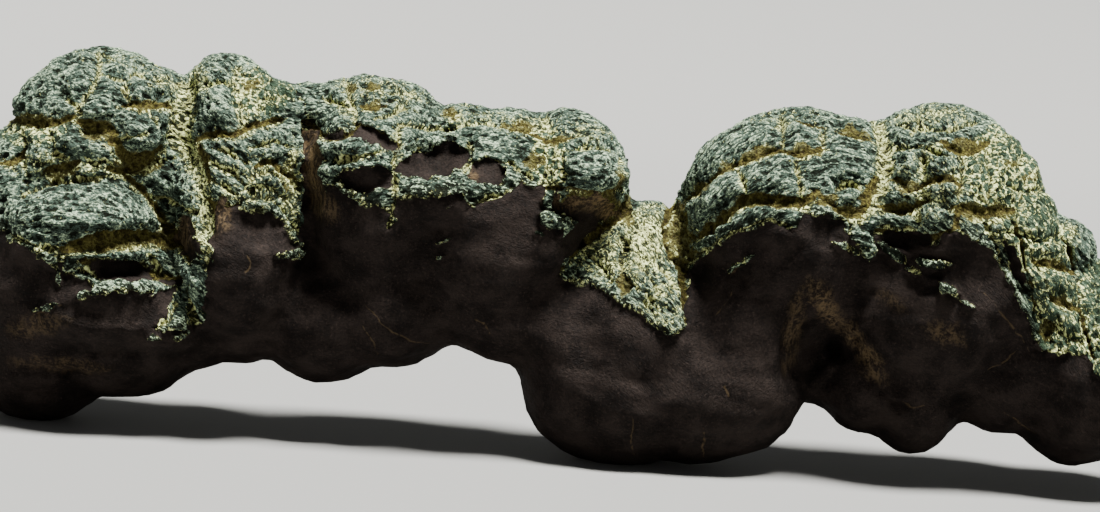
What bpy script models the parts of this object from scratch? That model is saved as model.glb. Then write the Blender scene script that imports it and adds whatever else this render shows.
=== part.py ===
"""A coprolite: one long, folded and waisted fossil dropping that lies on its own underside.

It is one piece of stone. Rounded lobes give the swellings, folds and waists of the rope that it set as, and are fused
into one skin. The lobes are placed as the piece is seen from its front; the whole is then laid over by REST_LEAN, so
that it rests on its left foot and its belly, each of which is worn flat.
"""

import math

import bmesh
import bpy
from mathutils import Matrix

MM = 0.001

# Driving dimensions, in millimetres and degrees.
REST_LEAN = 4.0  # how far the piece rolls towards its left foot to come to rest
WORN_FLAT = 2.4  # depth of stone worn off the lowest points, where it rests
DEPTH = 0.88  # how deep the rope is, for each 1 that the lobes below give it
VOXEL = 2.6  # cell of the grid that fuses the lobes
LUMP_SIZE = 30  # spacing of the low lumps over the whole skin
LUMP_HEIGHT = 5
TRIANGLES = 9300  # faces kept in the finished skin

STONE_COLOUR = (0.19, 0.2, 0.14, 1)  # grey-green

# Each lobe: (x, y, z) of its middle and its three half-sizes. X runs along the piece from left to right, Y away from
# the front, Z up from the underside of the belly.
HEAD = [
    ((-210, 6, 138), (42, 52, 52)),  # crown
    ((-231, 4, 155), (20, 38, 21)),  # its left shoulder
    ((-243, 4, 128), (30, 46, 25)),  # its outer cheek
    ((-189, 4, 157), (23, 44, 24)),  # its right shoulder
    ((-190, -20, 150), (15, 26, 11)),  # knob on its front
    ((-222, -6, 85), (57, 52, 44)),  # broad lower bulge
    ((-217, -20, 106), (40, 46, 24)),  # upper fold across its front
    ((-205, -26, 76), (39, 42, 21)),  # lower fold across its front
    ((-180, -20, 67), (20, 38, 15)),  # end of the lower fold
    ((-203, 26, 98), (46, 44, 54)),  # bulge at the back
    ((-240, 8, 50), (36, 44, 30)),  # left foot
    ((-199, 2, 62), (38, 50, 31)),  # heel behind the foot
    ((-168, 4, 66), (22, 40, 24)),
]
RING = [
    ((-146, 0, 113), (31, 57, 68)),  # the ring itself
    ((-145, -14, 98), (29, 50, 42)),  # its swollen front
    ((-153, 4, 164), (20, 38, 22)),  # its left rim
    ((-137, 4, 156), (18, 38, 19)),  # its right rim
    ((-118, 10, 158), (14, 34, 15)),  # bridge over the waist
    ((-150, 26, 96), (30, 42, 46)),  # bulge at the back
]
MIDDLE = [
    ((-88, 0, 121), (30, 56, 55)),
    ((-98, 8, 158), (17, 38, 18)),  # its left shoulder
    ((-80, 2, 121), (34, 58, 54)),
    ((-35, 0, 107), (44, 57, 54)),
    ((-90, -18, 137), (27, 42, 27)),  # brow
    ((-56, -22, 122), (28, 40, 13)),  # ledge on the front
    ((-46, 0, 153), (12, 30, 11)),
    ((-24, 0, 145), (20, 38, 15.5)),
    ((-1, 0, 132), (29, 50, 29)),
    ((9, -20, 133), (17, 36, 15)),  # end block
    ((-15, -6, 105), (25, 48, 34)),
    ((-108, 4, 68), (34, 46, 30)),
    ((-78, 2, 74), (32, 48, 30)),
    ((-38, 0, 76), (24, 46, 24)),
    ((-27, 0, 68), (22, 44, 22)),
    ((-62, 26, 98), (44, 42, 44)),  # bulge at the back
]
BELLY = [
    ((35, 8, 86), (32, 44, 35)),  # saddle
    ((33, -20, 62), (35, 38, 37)),  # slope in front of the saddle
    ((28, -3, 38), (45, 53, 38)),
    ((55, -3, 39.5), (45, 53, 37.5)),
    ((6, -3, 42), (29, 48, 36)),
    ((74, -3, 43), (34, 50, 38)),
    ((0, 0, 62), (26, 48, 32)),
    ((44, 22, 50), (52, 40, 40)),  # bulge at the back
]
ARCH = [
    ((102, 2, 106), (55, 56, 56)),  # the fold's left side
    ((130, 4, 109), (40, 54, 48)),
    ((95, -22, 110), (42, 41, 35)),  # its front
    ((78, 0, 66), (33, 52, 45)),  # left leg
    ((110, 26, 92), (44, 42, 50)),  # bulge at the back
    ((166, 2, 107), (46, 56, 58)),  # the fold's right side
    ((171, -24, 112), (31, 42, 36)),  # its front
    ((187, 0, 121), (27, 50, 31)),
    ((116, 14, 48), (24, 36, 22)),  # floor of the hollow under the fold
]
TAIL = [
    ((166, -14, 76), (44, 50, 42)),  # jowl
    ((197, -10, 90), (23, 50, 50)),  # flank
    ((208, 2, 64), (36, 54, 46)),
    ((224, -8, 99), (11, 26, 13)),
    ((246, 0, 48), (36, 50, 45)),
    ((236, -24, 44), (32, 34, 36)),  # slope in front of the tail
    ((228, 0, 30), (26, 42, 30)),
    ((195, 2, 44), (28, 46, 30)),
    ((155, 0, 34), (24, 44, 28)),
    ((132, 6, 38), (20, 42, 24)),
    ((190, 26, 66), (46, 40, 44)),  # bulge at the back
]


def clear_scene():
    for obj in list(bpy.data.objects):
        bpy.data.objects.remove(obj)


def add_lobes(lobes):
    """One mesh object holding every lobe as its own closed ball."""
    balls = bmesh.new()
    flatten = Matrix.Diagonal((MM, DEPTH * MM, MM, 1))
    for middle, half_sizes in lobes:
        place = flatten @ Matrix.Translation(middle) @ Matrix.Diagonal((*half_sizes, 1))
        bmesh.ops.create_icosphere(balls, subdivisions=4, radius=1, matrix=place)
    mesh = bpy.data.meshes.new("coprolite")
    balls.to_mesh(mesh)
    balls.free()
    obj = bpy.data.objects.new("coprolite", mesh)
    collection = bpy.data.collections.new("coprolite")
    bpy.context.scene.collection.children.link(collection)
    collection.objects.link(obj)
    return obj


def add_remesh(obj, voxel):
    remesh = obj.modifiers.new("remesh", "REMESH")
    remesh.mode = "VOXEL"
    remesh.voxel_size = voxel * MM


def add_smooth(obj, iterations):
    smooth = obj.modifiers.new("smooth", "SMOOTH")
    smooth.factor = 0.5
    smooth.iterations = iterations


def fuse(obj):
    """One skin over all the lobes, with soft creases between them and low lumps all over."""
    add_remesh(obj, VOXEL)
    add_smooth(obj, 8)
    grain = bpy.data.textures.new("lumps", "CLOUDS")
    grain.noise_scale = LUMP_SIZE * MM
    grain.noise_depth = 2
    lumps = obj.modifiers.new("lumps", "DISPLACE")
    lumps.texture = grain
    lumps.texture_coords = "LOCAL"
    lumps.strength = LUMP_HEIGHT * MM
    add_remesh(obj, VOXEL)
    add_smooth(obj, 3)


def apply_modifiers(obj):
    graph = bpy.context.evaluated_depsgraph_get()
    mesh = bpy.data.meshes.new_from_object(obj.evaluated_get(graph))
    obj.modifiers.clear()
    obj.data = mesh
    return obj


def lay_down(obj):
    """Rolls the piece onto its foot and its belly and sets it down with the worn depth below z = 0."""
    mesh = obj.data
    mesh.transform(Matrix.Rotation(math.radians(-REST_LEAN), 4, "Y"))
    corners = [[vertex.co[axis] for vertex in mesh.vertices] for axis in range(3)]
    middle_x = (min(corners[0]) + max(corners[0])) / 2
    middle_y = (min(corners[1]) + max(corners[1])) / 2
    mesh.transform(Matrix.Translation((-middle_x, -middle_y, -min(corners[2]) - WORN_FLAT * MM)))


def wear_flat(obj):
    """Cuts away everything below z = 0 and closes each opening with one flat face."""
    skin = bmesh.new()
    skin.from_mesh(obj.data)
    everything = skin.verts[:] + skin.edges[:] + skin.faces[:]
    cut = bmesh.ops.bisect_plane(
        skin, geom=everything, plane_co=(0, 0, 0), plane_no=(0, 0, -1), clear_outer=True
    )
    rim = [item for item in cut["geom_cut"] if isinstance(item, bmesh.types.BMEdge)]
    bmesh.ops.edgeloop_fill(skin, edges=rim)
    bmesh.ops.recalc_face_normals(skin, faces=skin.faces[:])
    skin.to_mesh(obj.data)
    skin.free()


def give_stone(obj):
    stone = bpy.data.materials.new("stone_skin")
    stone.use_nodes = True
    shader = stone.node_tree.nodes["Principled BSDF"]
    shader.inputs["Base Color"].default_value = STONE_COLOUR
    shader.inputs["Roughness"].default_value = 0.9
    shader.inputs["Metallic"].default_value = 0.0
    obj.data.materials.clear()
    obj.data.materials.append(stone)
    obj.data.shade_smooth()
    obj.data.set_sharp_from_angle(angle=math.radians(50))


def build():
    clear_scene()
    obj = add_lobes(HEAD + RING + MIDDLE + BELLY + ARCH + TAIL)
    fuse(obj)
    apply_modifiers(obj)
    thin = obj.modifiers.new("thin", "DECIMATE")
    thin.use_collapse_triangulate = True
    faces = sum(len(polygon.vertices) - 2 for polygon in obj.data.polygons)
    thin.ratio = TRIANGLES / faces
    apply_modifiers(obj)
    lay_down(obj)
    wear_flat(obj)
    give_stone(obj)
    return obj


build()
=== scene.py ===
"""The looks of the coprolite: one skin of cracked, wrinkled plates over a smooth brown underside.

The skin starts as a copy of the solid piece. Bosses and hollows are pushed out of it and into it. Then one
tree of nodes cuts the cracks between the plates along their own lines, and leaves on every point of the skin
the distances that the stone reads.

The lines and spots below are placed in the camera's own frame, FRAME_WIDE by FRAME_HIGH, with y down, and are
cast from the camera onto the skin. All other sizes are in millimetres, apart from the floor's.
"""

import math

import bmesh
import bpy
import numpy as np
from mathutils import Matrix, Vector


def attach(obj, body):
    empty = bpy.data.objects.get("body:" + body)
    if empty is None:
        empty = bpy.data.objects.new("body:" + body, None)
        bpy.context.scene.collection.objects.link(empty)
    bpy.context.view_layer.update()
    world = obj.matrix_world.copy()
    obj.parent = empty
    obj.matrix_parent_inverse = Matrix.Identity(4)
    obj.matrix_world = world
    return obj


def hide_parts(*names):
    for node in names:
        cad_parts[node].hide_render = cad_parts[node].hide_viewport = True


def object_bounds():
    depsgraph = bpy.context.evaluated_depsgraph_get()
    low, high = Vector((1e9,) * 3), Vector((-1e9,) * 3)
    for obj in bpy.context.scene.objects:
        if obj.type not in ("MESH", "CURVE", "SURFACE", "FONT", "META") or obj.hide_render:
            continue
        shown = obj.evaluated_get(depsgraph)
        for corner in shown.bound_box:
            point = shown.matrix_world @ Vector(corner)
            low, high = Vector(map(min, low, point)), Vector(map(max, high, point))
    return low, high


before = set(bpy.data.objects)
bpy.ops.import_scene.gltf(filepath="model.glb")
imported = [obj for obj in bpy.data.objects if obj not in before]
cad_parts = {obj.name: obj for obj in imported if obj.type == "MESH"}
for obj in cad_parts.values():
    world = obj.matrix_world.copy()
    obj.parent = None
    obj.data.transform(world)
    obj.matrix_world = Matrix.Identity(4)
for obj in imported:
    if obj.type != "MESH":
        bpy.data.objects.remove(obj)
cad_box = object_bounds()

MM = 0.001

# The camera. The piece rests rolled by LEAN towards its left foot, and the camera is rolled with it.
FRAME_WIDE, FRAME_HIGH = 1100, 512
LENS, SENSOR = 90.0, 36.0
NEAREST_SEEN, FURTHEST_SEEN = 50.0, 20000.0
SCALE = 0.45  # millimetres for each step of the camera's frame, at the piece's middle
ELEVATION = 5.0  # degrees, like LEAN
LEAN = 4.0
LAID_DOWN = Vector((3.019, -1.445, -5.31))  # shift of the rolled piece onto its resting place
AIM = Vector((-7.9, 0.0, 95.4))  # what the camera looks at, before the piece is rolled

# The skin.
MERGE_GAP = 0.01  # points of the solid closer than this are one
SKIN_CELL = 0.85  # grid of the first skin
SOFTEN_SHARE = 0.5
SOFTEN_STEPS = 16
SPOT_SOFTEN_STEPS = 2
SKIN_TRIANGLES = 192000
SMOOTH_THINNING = 0.5  # how much the smooth underside is thinned; the hidden skin is 1
SMOOTH_DEPTH = 3.0  # how far below the crust's edge it is thinned in full
THIN_LEVELS = 8
LEAST_THINNING = 0.1
THIN_BIAS = 0.002  # how much more readily the hidden skin is thinned
BOX_GAP = 0.05  # the skin stays this far inside the solid's box
FLOOR_BLEND = 5.0  # height over which relief fades out towards what the piece lies on

# How squarely a place has to face the camera before spots begin to show on it, and before they show in full.
PUSH_FACING = (0.02, 0.35)
MARK_FACING = (0.05, 0.35)

# Raised places: (x, y) of the middle, half sizes, turn in degrees, height, and how crisp the rim is (small is
# crisp).
BOSSES = {
    "crown_plate": (112, 76, 60, 25, 0, 2.5, 0.8),
    "ball_plate": (147, 129, 31, 21, -8, 2.6, 0.9),
    "crown_knob": (98, 108, 22, 12, 0, 2.5, 0.8),
    "left_pebble": (68, 144, 21, 15, 10, 2.5, 0.7),
    "left_pebble_low": (36, 162, 19, 18, 0, 2.5, 0.7),
    "left_pebble_edge": (8, 142, 14, 13, 0, 2.0, 0.7),
    "lens_plate": (84, 208, 90, 27, 4, 4.5, 0.6),
    "lens_tail": (42, 256, 26, 9, 38, 2.5, 0.8),
    "fold_rim": (122, 256, 60, 8, 0, 3.0, 0.8),
    "fold_rim_low": (132, 286, 50, 6, -4, 1.6, 0.8),
    "fold_arm": (193, 292, 9, 36, -22, 3.5, 0.7),
    "fold_wedge": (177, 316, 18, 13, 0, 3.5, 0.8),
    "waist_plate": (180, 185, 22, 34, -20, 2.0, 0.8),
    "ring_plate": (219, 106, 21, 21, 0, 2.0, 0.7),
    "ring_plate_right": (275, 146, 25, 15, -8, 2.0, 0.7),
    "ring_arc": (266, 183, 20, 11, 0, 3.0, 0.7),
    "ring_arc_low": (264, 202, 28, 8, 12, 3.0, 0.8),
    "ring_lip": (288, 252, 16, 7, 0, 4.0, 0.8),
    "ring_cream": (204, 246, 12, 20, 0, 4.0, 0.9),
    "middle_top": (362, 100, 50, 26, 0, 2.0, 0.8),
    "middle_plate": (358, 150, 40, 11, 5, 2.5, 0.7),
    "middle_plate_low": (360, 167, 38, 6, -3, 2.5, 0.8),
    "middle_ridge": (352, 192, 20, 4, 28, 2.5, 0.9),
    "middle_ledge": (442, 188, 46, 9, 0, 3.5, 0.7),
    "middle_band": (470, 138, 70, 13, -3, 2.5, 0.7),
    "end_plate": (592, 169, 30, 20, 0, 3.0, 0.7),
    "end_knob": (553, 219, 17, 8, 15, 4.0, 0.8),
    "strip_high": (760, 130, 70, 22, -22, 1.5, 0.8),
    "strip_middle": (745, 182, 62, 14, -20, 2.5, 0.7),
    "strip_low": (742, 226, 56, 12, -25, 3.0, 0.7),
    "strip_knob": (784, 159, 12, 6, 0, 2.0, 0.8),
    "long_plate": (837, 160, 36, 16, 8, 2.0, 0.7),
    "round_knob": (852, 194, 13, 9, 0, 3.0, 0.7),
    "grid_plate_a": (905, 164, 17, 14, 0, 2.5, 0.7),
    "grid_plate_b": (944, 162, 19, 13, 0, 2.5, 0.7),
    "grid_plate_c": (898, 192, 17, 10, 0, 3.0, 0.7),
    "grid_plate_d": (940, 190, 19, 10, 0, 3.0, 0.7),
    "grid_plate_e": (897, 219, 19, 9, 0, 3.0, 0.7),
    "grid_plate_f": (934, 212, 20, 10, 5, 3.0, 0.7),
    "grid_plate_g": (973, 228, 15, 11, 0, 3.0, 0.7),
    "grid_plate_h": (1003, 236, 16, 16, 0, 2.5, 0.7),
    "jag_a": (896, 250, 16, 6, 25, 3.0, 0.8),
    "jag_b": (929, 266, 23, 8, 5, 3.5, 0.8),
    "jag_c": (950, 288, 18, 6, 30, 3.0, 0.8),
    "jag_d": (858, 240, 18, 16, 30, 2.5, 0.8),
    "flank_knob": (1070, 234, 11, 20, 0, 2.5, 0.8),
    "flank_foot": (1052, 350, 22, 7, 10, 3.0, 0.8),
    "saddle_left": (590, 258, 24, 18, -40, 2.0, 1.0),
    "saddle_tip": (670, 325, 15, 9, 0, 3.0, 0.8),
    "hollow_ridge": (845, 345, 8, 62, 35, 3.5, 0.9),
}

# Sunken places, in the same terms.
HOLLOWS = {
    "crown_hollow": (98, 130, 20, 12, 20, 1.6, 1.2),
    "ball_undercut": (140, 160, 27, 13, 5, 0.8, 1.0),
    "lens_undercut": (122, 241, 60, 9, -3, 1.4, 0.8),
    "rim_undercut": (126, 271, 46, 10, 2, 2.5, 0.8),
    "rim_shade": (116, 312, 60, 18, 0, 3.5, 0.9),
    "lens_end": (178, 236, 9, 28, -22, 2.0, 1.0),
    "ring_shade": (256, 230, 32, 20, 15, 4.5, 0.8),
    "waist_valley": (311, 172, 9, 74, -4, 4.0, 1.0),
    "middle_gap": (373, 136, 32, 9, 26, 3.0, 0.8),
    "middle_lens": (366, 179, 34, 14, -4, 2.2, 0.9),
    "scoop": (435, 161, 38, 20, 0, 3.5, 0.8),
    "scoop_right": (488, 171, 24, 14, 10, 2.5, 0.8),
    "ochre_pit": (534, 162, 10, 9, 0, 2.5, 1.0),
    "end_undercut": (586, 208, 48, 18, 0, 4.0, 0.8),
    "end_side": (625, 196, 8, 26, -12, 3.0, 1.0),
    "saddle_groove": (624, 250, 5, 24, 8, 2.5, 1.0),
    "saddle_pocket": (624, 286, 9, 15, 0, 3.5, 0.8),
    "arch_wall": (681, 234, 13, 40, -8, 6.0, 0.9),
    "strip_gap_low": (768, 201, 42, 6, 0, 2.0, 1.0),
    "strip_gap_low_left": (709, 224, 22, 8, -38, 3.0, 1.0),
    "arch_shade": (760, 262, 46, 22, -20, 5.0, 0.9),
    "knob_shade": (830, 232, 20, 18, 0, 3.5, 0.9),
    "grid_shade": (915, 240, 34, 8, 5, 3.0, 1.0),
    "jag_shade": (918, 285, 22, 10, 20, 3.0, 0.9),
    "flank_shade": (1012, 268, 10, 44, -25, 4.0, 1.0),
    "tail_gap": (1046, 335, 12, 14, 0, 3.0, 1.0),
    "arch_pit": (837, 352, 14, 13, 40, 6.0, 0.9),
    "arch_recess": (812, 352, 36, 46, 10, 6.0, 1.2),
    "jowl_crease": (900, 405, 12, 7, 0, 3.0, 1.0),
    "heel_crease_a": (110, 352, 70, 6, 0, 2.5, 1.0),
    "heel_crease_b": (70, 374, 70, 5, 5, 2.5, 1.0),
    "heel_crease_c": (40, 395, 40, 5, 5, 2.0, 1.0),
}

# Troughs with an ochre floor, each under the rim of a plate: half width, depth, points.
TROUGHS = {
    "crown_ledge": (2.5, 2.4, [(122, 104), (135, 102), (150, 103), (163, 102), (174, 106)]),
    "crown_left": (2.5, 2.0, [(0, 117), (20, 121), (40, 122), (58, 120), (72, 115)]),
    "crown_hollow": (3.0, 1.3, [(78, 121), (90, 126), (105, 128), (113, 133), (110, 143)]),
    "ball_under": (3.4, 1.6, [(116, 140), (121, 152), (131, 160), (148, 159), (163, 149)]),
    "ball_low": (2.6, 2.2, [(110, 168), (125, 172), (140, 168), (154, 160)]),
    "pebbles": (2.2, 2.0, [(0, 160), (10, 160), (18, 155), (24, 147)]),
    "pebbles_low": (2.2, 1.6, [(44, 173), (56, 169), (68, 165), (78, 161)]),
    "lens_end": (2.3, 2.6, [(128, 178), (145, 190), (158, 206), (168, 224), (178, 246), (186, 258)]),
    "lens_under": (3.4, 2.2, [
        (62, 250), (83, 244), (100, 242), (120, 239), (140, 237), (158, 238), (175, 244),
    ]),
    "rim_under": (3.2, 3.2, [(84, 264), (105, 266), (125, 268), (145, 270), (160, 273), (178, 278)]),
    "ring_cross": (2.2, 2.3, [
        (189, 140), (205, 133), (220, 132), (235, 133), (244, 128), (256, 123), (268, 121), (283, 117),
    ]),
    "ring_under": (1.7, 1.9, [(256, 165), (272, 162), (282, 168), (296, 180)]),
    "ring_brown": (2.8, 1.0, [(204, 198), (214, 208), (224, 212), (236, 206)]),
    "ring_left": (2.4, 2.3, [(196, 143), (199, 155), (204, 166), (207, 180)]),
    "middle_notch": (1.7, 2.0, [(303, 121), (312, 127), (322, 134), (335, 135), (350, 131), (358, 123)]),
    "middle_gap": (2.4, 2.4, [(356, 121), (368, 127), (378, 134), (390, 141), (400, 144)]),
    "middle_spots": (1.7, 1.4, [(360, 103), (372, 106), (386, 102)]),
    "middle_split": (2.0, 1.9, [(496, 124), (512, 126), (528, 128), (545, 136), (558, 138), (576, 134)]),
    "end_under": (2.0, 2.5, [(545, 188), (562, 190), (580, 193), (596, 196), (612, 194), (626, 189)]),
    "saddle_left": (2.0, 2.6, [(630, 206), (616, 218), (602, 229), (588, 243), (574, 259), (562, 276)]),
    "saddle_right": (2.8, 3.3, [
        (671, 198), (668, 216), (668, 236), (674, 252), (682, 268), (686, 290), (689, 320),
    ]),
    "strip_a": (2.3, 2.3, [(683, 198), (697, 189), (707, 180), (716, 172), (728, 165), (742, 158)]),
    "strip_b": (2.5, 2.4, [(738, 160), (755, 154), (770, 149), (783, 147)]),
    "strip_c": (2.3, 2.2, [(785, 149), (800, 151), (812, 148), (825, 146)]),
    "strip_top": (1.7, 1.6, [(796, 117), (812, 122), (823, 126)]),
    "strip_top_right": (2.3, 2.0, [(836, 127), (852, 132), (872, 137)]),
    "strip_d": (2.4, 2.4, [(694, 237), (706, 229), (718, 220), (730, 210), (742, 200), (757, 196)]),
    "strip_e": (2.8, 2.7, [(754, 197), (772, 199), (790, 201), (806, 199), (819, 189)]),
    "knob_loop": (2.4, 2.4, [
        (821, 193), (832, 200), (842, 208), (853, 213), (863, 209), (868, 198), (872, 186), (877, 174),
    ]),
    "grid_a": (1.7, 2.3, [
        (888, 179), (900, 181), (911, 188), (919, 184), (930, 178), (945, 177), (963, 182),
    ]),
    "grid_b": (1.7, 2.3, [(879, 203), (893, 208), (906, 209), (914, 203), (925, 198)]),
    "grid_c": (3.2, 2.6, [(954, 205), (970, 209), (986, 212), (1000, 211), (1016, 209)]),
    "grid_d": (2.8, 2.2, [(943, 140), (960, 148), (975, 147), (990, 140)]),
    "grid_e": (1.9, 2.6, [(877, 230), (900, 236), (925, 239), (946, 235), (957, 225)]),
    "grid_f": (1.5, 1.4, [(955, 204), (957, 216), (952, 231)]),
    "flank_a": (1.1, 4.4, [(1018, 220), (1022, 245), (1025, 268), (1031, 290), (1037, 314)]),
    "flank_b": (1.3, 4.6, [
        (1057, 212), (1064, 234), (1073, 256), (1079, 276), (1083, 302), (1087, 332), (1094, 358),
    ]),
    "flank_c": (2.0, 1.9, [(1034, 262), (1050, 263), (1064, 266), (1076, 272)]),
    "flank_d": (1.8, 1.7, [(1054, 298), (1066, 303), (1080, 309)]),
    "arch_left": (3.0, 1.2, [(800, 288), (790, 318), (784, 350), (788, 380), (800, 404)]),
    "arch_right": (3.0, 1.2, [(848, 345), (862, 366), (876, 388), (890, 404)]),
}

# Broad valleys filled with cream crumbs, in the same terms.
WAISTS = {
    "first": (5.5, 3.2, [
        (180, 70), (184, 85), (183, 100), (180, 118), (180, 136), (184, 151), (192, 166), (196, 182),
        (202, 200), (206, 214), (206, 230), (204, 246), (204, 264),
    ]),
    "ring": (3.6, 2.0, [(240, 64), (239, 82), (241, 100), (244, 118), (247, 133)]),
    "third": (4.2, 3.0, [
        (878, 118), (882, 136), (884, 150), (884, 164), (880, 180), (877, 194), (872, 208), (862, 220),
    ]),
    "crown_left": (1.5, 1.2, [(98, 50), (100, 62), (98, 74), (88, 90), (78, 104), (74, 120)]),
    "middle": (1.8, 1.4, [(344, 76), (347, 92), (352, 106), (355, 128)]),
    "end": (4.0, 1.8, [(540, 110), (546, 128), (548, 146), (546, 164), (545, 182)]),
    "arch_cross": (1.4, 1.6, [(780, 114), (782, 130), (782, 146)]),
    "arch_cross_right": (1.3, 1.6, [(824, 130), (824, 144), (822, 154)]),
}

# Narrow cracks, as the points of each. All have one half width and depth, but for those of the groups named
# _cross, which are wider.
CRACK_SIZE, CROSS_SIZE = (1.0, 1.7), (1.3, 2.2)
CRACKS = {
    "crown": [
        [(96, 74), (106, 73), (114, 76), (128, 77), (133, 72), (146, 75), (158, 82)],
        [(97, 50), (105, 53), (113, 58)],
        [(62, 96), (70, 103), (78, 112), (72, 120), (64, 128)],
        [(128, 77), (126, 88), (128, 100)],
    ],
    "ball": [
        [(117, 139), (130, 138), (142, 136), (152, 134)],
        [(150, 109), (157, 118), (160, 127)],
    ],
    "lens": [
        [(22, 196), (40, 186), (60, 181), (90, 179), (120, 177)],
        [(58, 248), (60, 258), (58, 272)],
        [(4, 232), (20, 241), (40, 247), (62, 249)],
    ],
    "rim": [[(150, 252), (154, 262), (160, 268)]],
    "arm": [[(183, 284), (188, 300), (192, 314), (196, 330)]],
    "wedge": [[(178, 302), (170, 318), (154, 328)]],
    "pebble": [
        [(50, 132), (52, 144), (56, 156), (70, 162)],
        [(20, 132), (24, 146), (22, 160), (26, 174)],
    ],
    "knobs": [[(84, 158), (94, 166), (104, 160), (116, 166)]],
    "slab": [
        [(124, 178), (140, 172), (150, 166), (160, 162), (174, 158)],
        [(150, 196), (165, 200), (180, 208), (196, 214)],
    ],
    "ring": [
        [(206, 84), (222, 80), (238, 84)],
        [(260, 98), (276, 96), (292, 98), (300, 96)],
        [(250, 148), (262, 144), (276, 140), (294, 146)],
        [(244, 190), (249, 180), (256, 173), (268, 170), (280, 174), (286, 184)],
        [(236, 206), (245, 199), (262, 195), (278, 201), (288, 214), (300, 232)],
        [(250, 191), (262, 188), (275, 191), (286, 198)],
        [(210, 146), (226, 150), (240, 158), (254, 162)],
        [(206, 160), (220, 166), (236, 176), (244, 186)],
        [(210, 178), (222, 184), (234, 194)],
    ],
    "middle": [
        [(320, 97), (336, 100), (350, 108)],
        [(320, 158), (345, 160), (366, 156), (386, 150)],
        [(400, 126), (398, 150), (396, 166), (395, 182), (394, 196), (392, 214), (387, 232)],
        [(376, 118), (392, 112), (406, 106), (420, 112)],
        [(420, 140), (420, 152), (418, 160)],
        [(400, 122), (420, 126), (446, 128), (470, 124), (496, 122)],
        [(466, 142), (470, 154), (464, 170)],
        [(496, 160), (508, 158), (520, 168), (532, 178)],
        [(468, 210), (478, 204), (490, 198), (502, 194), (512, 186)],
        [(362, 86), (380, 88), (396, 92), (414, 90)],
    ],
    "end": [
        [(566, 150), (590, 146), (614, 150)],
        [(564, 152), (560, 166), (562, 182)],
        [(617, 146), (622, 160), (620, 180)],
    ],
    "saddle": [
        [(633, 230), (627, 241), (623, 256), (621, 270)],
        [(640, 262), (652, 276), (660, 292)],
        [(644, 288), (654, 301), (666, 313)],
        [(584, 250), (598, 262), (610, 280)],
        [(660, 262), (672, 278), (682, 298)],
        [(634, 284), (644, 298), (656, 312)],
    ],
    "strip_cross": [[(797, 158), (799, 170), (801, 186), (804, 202)]],
    "strip": [
        [(736, 166), (742, 176), (746, 190)],
        [(690, 262), (704, 251), (720, 241), (735, 233), (750, 227), (765, 221), (779, 223), (794, 232)],
    ],
    "knob_cross": [[(848, 216), (850, 234), (852, 254)]],
    "knob": [[(838, 190), (846, 184), (858, 184), (864, 190)]],
    "grid_cross": [
        [(922, 145), (924, 160), (922, 176)],
        [(920, 186), (920, 198), (914, 208), (916, 220)],
        [(962, 152), (962, 166), (962, 182), (958, 200)],
        [(990, 150), (992, 172), (992, 192), (992, 214)],
        [(986, 218), (990, 232), (998, 246), (1004, 262)],
        [(890, 146), (905, 148), (922, 146), (944, 152), (962, 156)],
    ],
    "grid": [[(880, 226), (896, 229), (914, 231)]],
    "jag": [[(905, 258), (912, 270), (924, 276), (938, 276), (950, 270)]],
    "crest": [
        [(894, 122), (912, 126), (936, 128), (960, 126), (980, 120)],
        [(922, 102), (918, 116), (912, 132)],
    ],
    "flank": [
        [(1000, 176), (1012, 186), (1026, 190), (1044, 188)],
        [(1002, 232), (1018, 232), (1036, 240), (1056, 238)],
        [(1026, 150), (1022, 168), (1026, 186), (1022, 204), (1018, 222)],
        [(1040, 312), (1052, 326), (1066, 336), (1080, 344)],
    ],
    "tail": [[(1034, 352), (1044, 356), (1056, 349), (1072, 356)]],
}

# Hairlines on the smooth underside, in the same terms.
HAIR_SIZE = (0.6, 0.5)
HAIRLINES = {
    "arch_right": [
        [(978, 288), (994, 302), (1005, 317), (1016, 332), (1027, 346), (1030, 356)],
        [(985, 374), (1002, 364), (1018, 352)],
        [(800, 290), (815, 310), (836, 326), (852, 344), (866, 368), (880, 394)],
    ],
    "belly": [
        [(702, 424), (705, 438), (702, 452), (706, 462)],
        [(632, 414), (634, 432), (632, 446), (636, 462)],
        [(722, 382), (730, 400)],
    ],
    "middle": [
        [(360, 300), (376, 318), (392, 332), (412, 342), (440, 346)],
        [(362, 326), (374, 346), (380, 362)],
        [(468, 318), (484, 326), (492, 346)],
    ],
    "ring": [[(246, 252), (250, 266), (242, 274)]],
    "arch_left": [
        [(710, 320), (724, 304), (734, 288)],
        [(728, 278), (740, 264), (750, 256)],
    ],
    "jowl": [
        [(900, 402), (912, 408), (928, 404)],
        [(1000, 412), (1018, 424), (1044, 442)],
    ],
    "head": [[(34, 316), (48, 308), (62, 304)]],
}

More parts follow.
